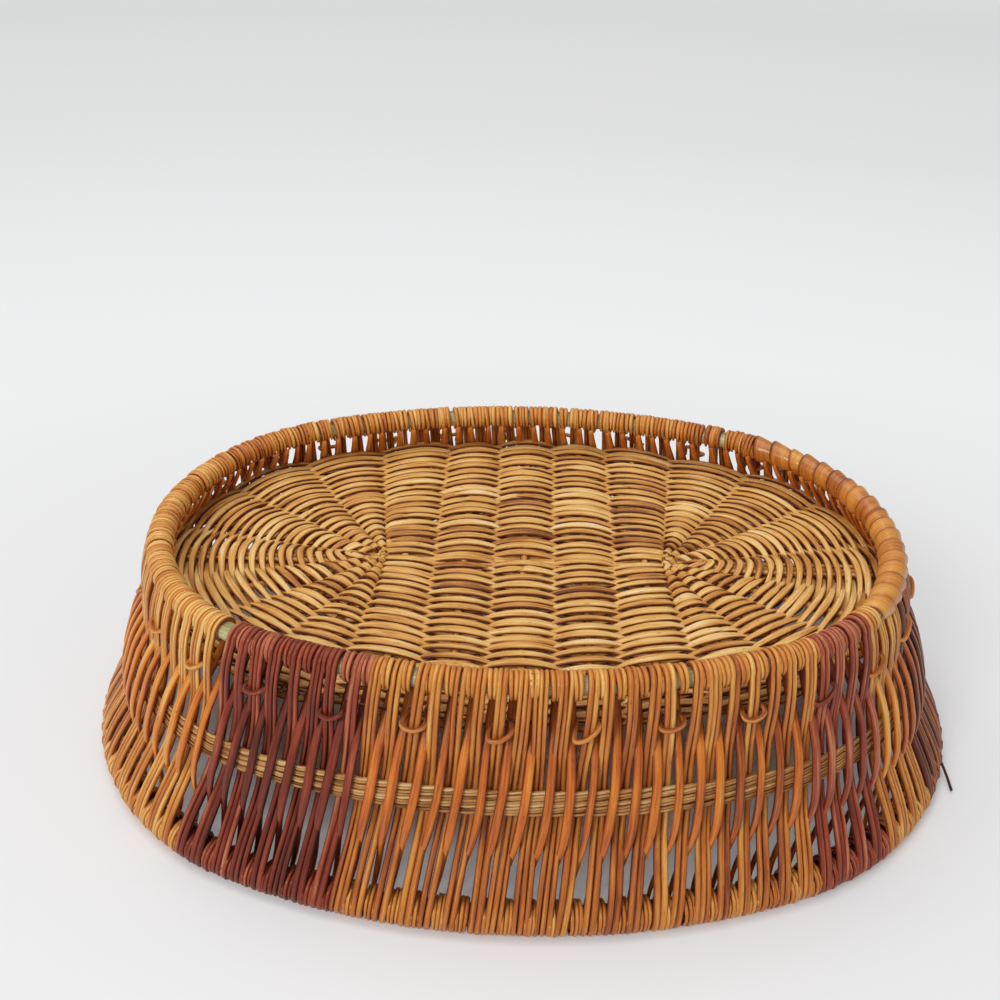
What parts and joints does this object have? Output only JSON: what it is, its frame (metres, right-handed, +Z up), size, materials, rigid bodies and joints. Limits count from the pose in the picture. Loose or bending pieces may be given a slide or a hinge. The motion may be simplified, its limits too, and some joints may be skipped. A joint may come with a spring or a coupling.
{
  "type": "oval wicker basket",
  "caption": "Oval openwork wicker basket standing on its wrapped rim, with a woven base, a wrapped foot ring and a twined waist band.",
  "frame": {"origin": "centre of the rim's footprint, on the surface that the rim stands on", "axes": "+Z up out of the base, as the basket stands turned over on its rim; +X along the longer side"},
  "size_m": [0.2908, 0.217, 0.076],
  "materials": {
    "honey_wicker": "thinly varnished peeled willow, honey orange, fine lengthwise grain",
    "amber_wicker": "thinly varnished split willow, amber brown, flat with rounded edges",
    "red_brown_wicker": "stained willow, dark red-brown, thin varnish",
    "straw_wicker": "bare split cane, pale straw, matt and fibrous"
  },
  "bodies": {
    "root": {"rim_hoop": "amber_wicker", "foot_hoop": "straw_wicker", "base_cross_sticks": "straw_wicker", "base_long_sticks": "straw_wicker", "base_fan_sticks": "straw_wicker", "base_ties": "honey_wicker", "base_weave_inner": "straw_wicker", "base_weave_middle": "straw_wicker", "base_weave_outer": "straw_wicker", "band_row_1": "straw_wicker", "band_row_2": "straw_wicker", "band_row_3": "straw_wicker", "band_row_4": "straw_wicker", "foot_wraps_right": "honey_wicker", "foot_wraps_back": "honey_wicker", "foot_wraps_left": "honey_wicker", "foot_wraps_front_left": "red_brown_wicker", "foot_wraps_front": "honey_wicker", "rim_wraps_right_front": "honey_wicker", "rim_wraps_right_back": "honey_wicker", "rim_wraps_back_right_corner": "honey_wicker", "rim_wraps_back_right": "honey_wicker", "rim_wraps_back_left": "honey_wicker", "rim_wraps_back_left_corner": "honey_wicker", "rim_wraps_left_back": "honey_wicker", "rim_wraps_left_front": "honey_wicker", "rim_wraps_front_left": "red_brown_wicker", "rim_wraps_front_centre": "honey_wicker", "rim_wraps_front_right": "honey_wicker", "rim_wraps_front_right_corner": "red_brown_wicker", "wall_pairs_right_front": "honey_wicker", "wall_pairs_right_back": "honey_wicker", "wall_pairs_back_right_corner": "honey_wicker", "wall_pairs_back_right": "honey_wicker", "wall_pairs_back_left": "honey_wicker", "wall_pairs_back_left_corner": "honey_wicker", "wall_pairs_left_back": "honey_wicker", "wall_pairs_left_front": "honey_wicker", "wall_pairs_front_left": "red_brown_wicker", "wall_pairs_front_centre": "honey_wicker", "wall_pairs_front_right": "honey_wicker", "wall_pairs_front_right_corner": "red_brown_wicker", "wall_sticks_right_front": "amber_wicker", "wall_sticks_right_back": "amber_wicker", "wall_sticks_back_right_corner": "amber_wicker", "wall_sticks_back_right": "amber_wicker", "wall_sticks_back_left": "amber_wicker", "wall_sticks_back_left_corner": "amber_wicker", "wall_sticks_left_back": "amber_wicker", "wall_sticks_left_front": "amber_wicker", "wall_sticks_front_left": "red_brown_wicker", "wall_sticks_front_centre": "amber_wicker", "wall_sticks_front_right": "amber_wicker", "wall_sticks_front_right_corner": "red_brown_wicker"}
  },
  "joints": []
}
